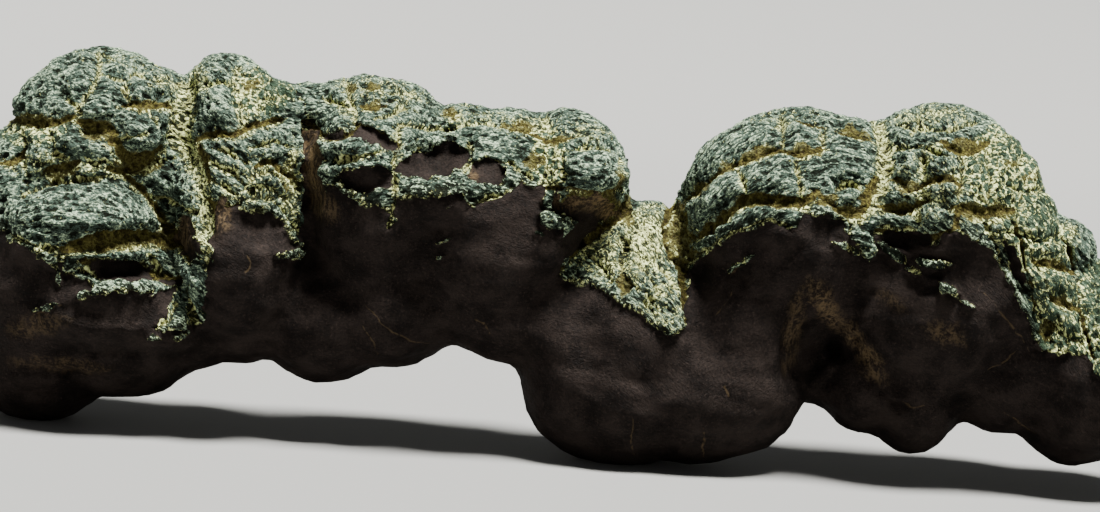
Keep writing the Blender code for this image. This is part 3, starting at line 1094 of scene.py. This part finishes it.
def pebble_bumps(bench, place, grain, given):
    squeezed = bench.scaled(bench.vector("MULTIPLY", grain, PEBBLE_DRAW), 1 / PEBBLE_SIZE)
    pebbles = bench.add("ShaderNodeTexVoronoi", {"Vector": squeezed, "Scale": 1.0}, feature="SMOOTH_F1")
    patchy = bench.step(bench.noise(place, PEBBLE_PATCH), 0.36, 0.62, 0.35, 1.0)
    return bench.product(bench.less(PEBBLE_LEVEL, pebbles), given["Pebble height"], 2.0, patchy)


def build_crack_tree(line_names):
    """The tree that cuts the cracks, raises the plates and wrinkles them."""
    tree = start_crack_tree(line_names)
    bench = Bench(tree)
    given = tree.nodes.new("NodeGroupInput").outputs
    place = bench.scaled(bench.add("GeometryNodeInputPosition"), 1 / MM)
    grain = named(bench, "grain", "FLOAT_VECTOR")
    strayed = stray(bench, place, given)
    edge = crust_edge(bench, place)
    crust = bench.step(edge, -0.6, 0.6)
    smooth = bench.less(1.0, crust)

    # The cuts.
    troughs = Lines(bench, given["Troughs"], strayed, given["Trough width"])
    waists = Lines(bench, given["Waists"], strayed)
    cracks = Lines(bench, given["Cracks"], strayed)
    hairs = Lines(bench, given["Hairlines"], strayed)
    cells = cell_cracks(bench, place, strayed, named(bench, "hidden"), given)
    uneven = bench.noise(place, UNEVEN)
    crack_reach = bench.ratio(cracks.reach, bench.step(uneven, 0.35, 0.65, 0.5, 1.4))
    cell_reach = bench.ratio(cells, given["Cell crack width"])
    cut = bench.least(
        trough_shape(bench, troughs, given),
        bench.sunk(bench.step(waists.reach, 0.0, 1.3), waists.depth),
        bench.sunk(bench.step(crack_reach, 0.2, 1.0), cracks.depth),
        bench.sunk(bench.step(hairs.reach, 0.1, 1.2), hairs.depth),
        bench.product(bench.sunk(bench.step(cell_reach, 0.3, 1.1), given["Cell crack depth"]), crust),
    )

    # Each plate swells towards its middle, and the crust stands above the smooth underside.
    nearest = bench.least(
        bench.less(troughs.distance, troughs.half),
        cracks.distance,
        bench.less(waists.distance, waists.half),
        cells,
    )
    swell = bench.product(bench.sunk(bench.step(nearest, 0.0, SWELL_REACH), given["Plate swell"]), crust)
    standing = bench.sunk(crust, given["Crust height"])

    # Cream crumbs fill the waists. They line the cracks, the troughs' lower rims and the crust's own edge. On
    # the lower rims, which face up, the cream is also a painted highlight.
    # Fuller below each trough's line, where the rim faces up: cream crumbs and painted highlight.
    rim = bench.product(
        bench.step(troughs.reach, 0.8, 1.1),
        bench.step(troughs.reach, 1.2, 2.6, 1.0, 0.0),
        bench.step(troughs.above, -0.4, 0.2, 1.0, 0.4),
    )
    share = bench.most(
        named(bench, "cream"),
        bench.step(waists.reach, 0.3, 1.7, 1.0, 0.0),
        bench.step(bench.least(crack_reach, cell_reach), 0.5, 2.6, 1.0, 0.0),
        rim,
        bench.step(edge, 2.2, 0.3, 0.0, 0.7),
    )
    share = bench.total(share, bench.centred(uneven, 0.6))

    # Lumps everywhere; pebbles, wrinkles, crumbs and lace on the crust; soft ledges on the underside.
    covered = bench.total(bench.product(crust, 0.8), 0.2)
    lumps = bench.centred(bench.noise(place, LUMP_SIZE, 2.5, 0.55), given["Lump height"])
    pebbles = pebble_bumps(bench, place, grain, given)
    crests = bench.step(crest_gap(bench, grain, CREST_WIDE), 0.0, 0.15, 1.0, 0.0)
    wrinkles = bench.product(crests, given["Wrinkle height"], crust, bench.step(share, 0.4, 1.0, 1.0, 0.2))
    crumbs = bench.product(crumb_light(bench, grain, share, 0.06), given["Crumb height"], crust)
    laced = bench.product(lace_lines(bench, place), named(bench, "lace"), given["Lace height"], crust)
    ledges = bench.noise(bench.vector("MULTIPLY", place, LEDGE_DRAW), LEDGE_SIZE, 2.5)
    ledges = bench.product(bench.centred(ledges, given["Ledge height"]), smooth)
    fine = bench.total(bench.product(pebbles, crust), wrinkles, crumbs, laced)
    height = bench.total(cut, swell, standing, bench.product(lumps, covered), fine, ledges)
    floor_fade = bench.step(bench.add("ShaderNodeSeparateXYZ", (place,), out=2), FLOOR_GAP, FLOOR_BLEND)

    # Everything is stored before the skin moves.
    kept = {
        "trough": troughs.reach,
        "cream_share": share,
        "hair": hairs.reach,
        "edge_mm": edge,
        "height_mm": bench.product(height, floor_fade),
    }
    marked = given["Geometry"]
    for name, value in kept.items():
        feeds = {"Geometry": marked, "Name": name, "Value": value}
        marked = bench.add("GeometryNodeStoreNamedAttribute", feeds, data_type="FLOAT", domain="POINT")
    push = bench.product(named(bench, "height_mm"), MM)
    offset = bench.scaled(bench.add("GeometryNodeInputNormal"), push)
    moved = bench.add("GeometryNodeSetPosition", {"Geometry": marked, "Offset": offset})
    moved = bench.add("GeometryNodeRealizeInstances", (moved,))
    moved = bench.add("GeometryNodeSetMaterial", {"Geometry": moved, "Material": given["Stone"]})
    tree.links.new(moved, tree.nodes.new("NodeGroupOutput").inputs[0])
    return tree


def crack_skin(skin, stone):
    bpy.context.view_layer.update()
    lines = {
        "Troughs": cast_lines("trough_lines", TROUGHS.values(), skin),
        "Waists": cast_lines("waist_lines", WAISTS.values(), skin),
        "Cracks": cast_lines("crack_lines", each_line(CRACKS, CRACK_SIZE, CROSS_SIZE), skin),
        "Hairlines": cast_lines("hair_lines", each_line(HAIRLINES, HAIR_SIZE), skin),
    }
    tree = build_crack_tree(lines)
    modifier = skin.modifiers.new("cracked_skin", "NODES")
    modifier.node_group = tree
    sockets = {item.name: item.identifier for item in tree.interface.items_tree if item.in_out == "INPUT"}
    for name, value in (lines | TREE_INPUTS | {"Stone": stone}).items():
        modifier[sockets[name]] = value
    settle(skin)
    for obj in lines.values():
        bpy.data.objects.remove(obj)


def keep_in_box(skin):
    """Nothing of the skin leaves the solid piece's box."""
    low, high = (np.array(corner) for corner in cad_box)
    gap = BOX_GAP * MM
    inner_low, inner_high = low + gap, high - gap
    inner_low[2] = low[2]
    move_points(skin.data, np.clip(mesh_points(skin.data), inner_low, inner_high))


def thin_skin(skin):
    """Fewer triangles: most of all where the skin is hidden or smooth."""
    mesh = skin.data
    below_edge = soft_step(-read_values(mesh, "edge_mm"), 0.0, SMOOTH_DEPTH)
    coarse = np.maximum(read_values(mesh, "hidden"), SMOOTH_THINNING * below_edge)
    levels = np.round(coarse * THIN_LEVELS).astype(int)
    group = skin.vertex_groups.new(name="thinned")
    for level in range(THIN_LEVELS + 1):
        weight = LEAST_THINNING + (1.0 - LEAST_THINNING) * level / THIN_LEVELS
        group.add(np.flatnonzero(levels == level).tolist(), weight, "REPLACE")
    thin = skin.modifiers.new("thin", "DECIMATE")
    thin.ratio = SKIN_TRIANGLES / (2 * len(mesh.polygons))
    thin.use_collapse_triangulate = True
    thin.vertex_group = "thinned"
    thin.vertex_group_factor = THIN_BIAS
    settle(skin)
    skin.vertex_groups.clear()
    skin.data.shade_smooth()


# ---------- The stone ----------

GREEN = (0.060, 0.091, 0.070, 1)
# Pale crumbs on the plates' crests, partly a painted highlight.
PALE_CRUMB_AND_HIGHLIGHT = (0.56, 0.72, 0.48, 1)
# Painted shade between the plates' wrinkles and towards the crust's edge.
GREEN_PAINTED_SHADE = (0.0065, 0.0085, 0.004, 1)
CREAM_COLOUR = (0.92, 1.00, 0.44, 1)
# Cream in painted shade, away from the crumbs' lit tops.
CREAM_IN_PAINTED_SHADE = (0.30, 0.30, 0.11, 1)
# Painted shade between thick crumbs.
SHADE_BETWEEN_CRUMBS = (0.026, 0.030, 0.010, 1)
OCHRE_COLOUR = (0.150, 0.136, 0.036, 1)
OCHRE_DARK = (0.034, 0.024, 0.007, 1)
# The underside's brown, darkened nearly to black, partly as painted shade.
BROWN_AND_PAINTED_SHADE = (0.0048, 0.0034, 0.0029, 1)
BROWN_PALE = (0.0200, 0.0146, 0.0124, 1)
LACE_CELL = (0.034, 0.060, 0.034, 1)
TAN_COLOUR = (0.135, 0.092, 0.046, 1)
# Colour of the painted shade in the hollows.
HOLLOW_SHADE = (0.16, 0.13, 0.08, 1)

BLOTCH, SPECK = 12.0, 1.2  # sizes of the stone's two mottles
STREAK, STREAK_DRAW = 2.4, (1.0, 1.0, 0.35)
ROUGHNESS = (0.7, 0.95)
SHINE = 0.07
BUMP_HEIGHT = 1.4


def make_plates(bench, grain, blotch, speck, edge):
    """Grey-green plates: pale crumbs on the crests of their wrinkles, partly painted highlight, and painted
    shade, nearly black, between them and towards the crust's edge.
    """
    wide, fine = crest_gap(bench, grain, CREST_WIDE), crest_gap(bench, grain, CREST_FINE)
    crests = bench.total(bench.step(wide, 0.0, 0.11, 0.5, 0.0), bench.step(fine, 0.0, 0.11, 0.35, 0.0))
    tone = bench.total(crests, bench.product(speck, 1.3), bench.product(blotch, 0.5))
    # Painted shade: the plates darken towards the crust's edge.
    edge_shaded_base = bench.colour(bench.step(edge, 0.0, 9.0), GREEN_PAINTED_SHADE, GREEN)
    # Painted shade, nearly black, between the wrinkles' crests.
    plates = bench.colour(bench.step(tone, 1.12, 1.28, 0.95, 0.0), edge_shaded_base, GREEN_PAINTED_SHADE)
    # Pale crumbs on the crests, partly a painted highlight.
    return bench.colour(bench.step(tone, 1.46, 1.90), plates, PALE_CRUMB_AND_HIGHLIGHT), crests


def make_underside(bench, place, blotch, speck, loose, tan, hair):
    """Dusky brown with tan stains, pale flecks and pale hairlines; the brown is darkened nearly to black,
    partly as painted shade.
    """
    dusk = bench.total(blotch, bench.product(loose, 0.9))
    brown = bench.colour(bench.step(dusk, 0.25, 0.75), BROWN_AND_PAINTED_SHADE, BROWN_PALE)
    streaks = bench.noise(bench.vector("MULTIPLY", place, STREAK_DRAW), STREAK, 3.0, 0.65)
    streaks = bench.step(bench.total(streaks, bench.product(loose, 0.9)), 0.38, 0.66, 0.08, 1.1)
    brown = bench.colour(bench.product(tan, streaks), brown, TAN_COLOUR)
    flecks = bench.product(bench.step(speck, 0.60, 0.68), 0.5)
    brown = bench.colour(flecks, brown, BROWN_PALE, "ADD")
    return bench.colour(bench.step(hair, 0.4, 1.2, 0.35, 0.0), brown, TAN_COLOUR)


def make_stone():
    stone = bpy.data.materials.new("fossil_stone")
    stone.use_nodes = True
    tree = stone.node_tree
    bench = Bench(tree)
    shader = tree.nodes["Principled BSDF"]

    def value(name, out="Fac"):
        return bench.add("ShaderNodeAttribute", out=out, attribute_name=name)

    place = bench.scaled(bench.add("ShaderNodeTexCoord", out="Object"), 1 / MM)
    grain, edge, share = value("grain", "Vector"), value("edge_mm"), value("cream_share")
    blotch = bench.noise(place, BLOTCH, 3.0)
    speck = bench.noise(place, SPECK, 3.0, 0.7)
    loose = bench.less(speck, 0.5)
    crust = bench.step(edge, -0.5, 0.7)
    surface, crests = make_plates(bench, grain, blotch, speck, edge)
    crests = bench.product(crests, bench.step(share, 0.4, 0.9, 1.4, 0.2))

    # A lace of cream walls round small dark cells.
    lace = bench.step(value("lace"), 0.0, 0.35)
    walls = bench.step(lace_lines(bench, place), 0.0, 1.0, -0.75, 0.65)
    share = bench.total(share, bench.product(lace, walls))
    surface = bench.colour(bench.product(lace, 0.7), surface, LACE_CELL)

    # Cream crumbs, with painted shade, nearly black, between them where they lie thick. Off the crumbs' lit
    # tops the cream takes a dull copy of itself, which is painted shade.
    surface = bench.colour(bench.step(share, 0.35, 1.0, 0.0, 0.85), surface, SHADE_BETWEEN_CRUMBS)
    crumbs = crumb_light(bench, grain, share)
    lit = bench.total(crumbs, bench.product(loose, 2.0), bench.product(crests, 0.4))
    cream = bench.colour(bench.step(lit, 0.6, 1.1), CREAM_IN_PAINTED_SHADE, CREAM_COLOUR)
    surface = bench.colour(crumbs, surface, cream)

    # Ochre floors of the troughs, and ochre stains.
    ochre_colour = bench.colour(bench.step(speck, 0.34, 0.66), OCHRE_DARK, OCHRE_COLOUR)
    floor = bench.step(bench.total(value("trough"), bench.product(loose, 0.8)), 0.75, 1.0, 1.0, 0.0)
    stain = bench.total(value("ochre"), bench.product(loose, 1.4), bench.product(crumbs, -0.25))
    stain = bench.step(stain, 0.25, 0.55, 0.0, 0.9)
    surface = bench.colour(bench.most(floor, stain), surface, ochre_colour)

    # Below the crust's edge, the underside: its own brown, darkened as painted shade.
    brown = make_underside(bench, place, blotch, speck, loose, value("tan"), value("hair"))
    surface = bench.colour(crust, brown, surface)

    # Painted shade: darker in the hollows, where the skin curves inward.
    point = bench.add("ShaderNodeNewGeometry", out="Pointiness")
    surface = bench.colour(bench.step(point, 0.5, 0.44, 0.0, 0.75), surface, HOLLOW_SHADE, "MULTIPLY")
    tree.links.new(surface, shader.inputs["Base Color"])
    tree.links.new(bench.step(speck, 0.3, 0.7, *ROUGHNESS), shader.inputs["Roughness"])
    shader.inputs["Specular IOR Level"].default_value = SHINE

    height = bench.total(bench.product(crests, 0.9), bench.product(speck, 1.5), bench.product(crumbs, 0.7))
    height = bench.product(height, bench.total(bench.product(crust, 0.8), 0.2))
    feeds = {"Strength": 1.0, "Distance": BUMP_HEIGHT * MM, "Height": height}
    tree.links.new(bench.add("ShaderNodeBump", feeds), shader.inputs["Normal"])
    return stone


# ---------- Floor and light, in metres ----------

FLOOR_RINGS = (0.4, 1.2, 2.8)
SWEEP_RADIUS = 1.5
SWEEP_TURN = 80  # degrees
SWEEP_STEPS = 24
FLOOR_SIDES = 96
PAPER = (0.20, 0.20, 0.195, 1)
PAPER_ROUGHNESS = 0.9

LAMP_STRENGTH = 19.0
LAMP_SPREAD = 18  # degrees
LAMP_COLOUR = (1.0, 0.99, 0.95)
LAMP_AIM = Vector((-0.22, 0.22, -1.0))
ROOM_COLOUR = (0.92, 0.96, 1.0, 1)
ROOM_STRENGTH = 0.085


def add_floor():
    """A pale round floor that sweeps up into a wall all round."""
    profile = [(ring, 0.0) for ring in FLOOR_RINGS]
    for step in range(1, SWEEP_STEPS + 1):
        angle = math.radians(SWEEP_TURN) * step / SWEEP_STEPS
        out, up = math.sin(angle), 1.0 - math.cos(angle)
        profile.append((FLOOR_RINGS[-1] + SWEEP_RADIUS * out, SWEEP_RADIUS * up))
    points = [(0.0, 0.0, 0.0)]
    for side in range(FLOOR_SIDES):
        angle = 2 * math.pi * side / FLOOR_SIDES
        points += [(out * math.cos(angle), out * math.sin(angle), up) for out, up in profile]
    count = len(profile)
    faces = []
    for side in range(FLOOR_SIDES):
        here, there = 1 + side * count, 1 + (side + 1) % FLOOR_SIDES * count
        faces.append((0, here, there))
        faces += [(here + i, here + i + 1, there + i + 1, there + i) for i in range(count - 1)]
    mesh = bpy.data.meshes.new("floor")
    mesh.from_pydata(points, [], faces)
    mesh.shade_smooth()
    floor = add_object("floor", mesh)
    paper = bpy.data.materials.new("pale_paper")
    paper.use_nodes = True
    shader = paper.node_tree.nodes["Principled BSDF"]
    shader.inputs["Base Color"].default_value = PAPER
    shader.inputs["Roughness"].default_value = PAPER_ROUGHNESS
    mesh.materials.append(paper)


def add_light():
    """One broad soft light from above and a little in front, and a faint one from all round."""
    data = bpy.data.lights.new("overhead", "SUN")
    data.energy = LAMP_STRENGTH
    data.angle = math.radians(LAMP_SPREAD)
    data.color = LAMP_COLOUR
    lamp = add_object("overhead", data)
    lamp.rotation_euler = LAMP_AIM.to_track_quat("-Z", "Y").to_euler()
    world = bpy.data.worlds.new("room")
    world.use_nodes = True
    sky = world.node_tree.nodes["Background"]
    sky.inputs["Color"].default_value = ROOM_COLOUR
    sky.inputs["Strength"].default_value = ROOM_STRENGTH
    bpy.context.scene.world = world


# ---------- Putting it together ----------


def build():
    stone = make_stone()
    skin = copy_solid()
    push_spots(skin)
    mark_skin(skin)
    crack_skin(skin, stone)
    thin_skin(skin)
    keep_in_box(skin)
    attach(skin, "root")
    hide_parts("coprolite")
    add_floor()
    add_light()
    add_camera()


build()
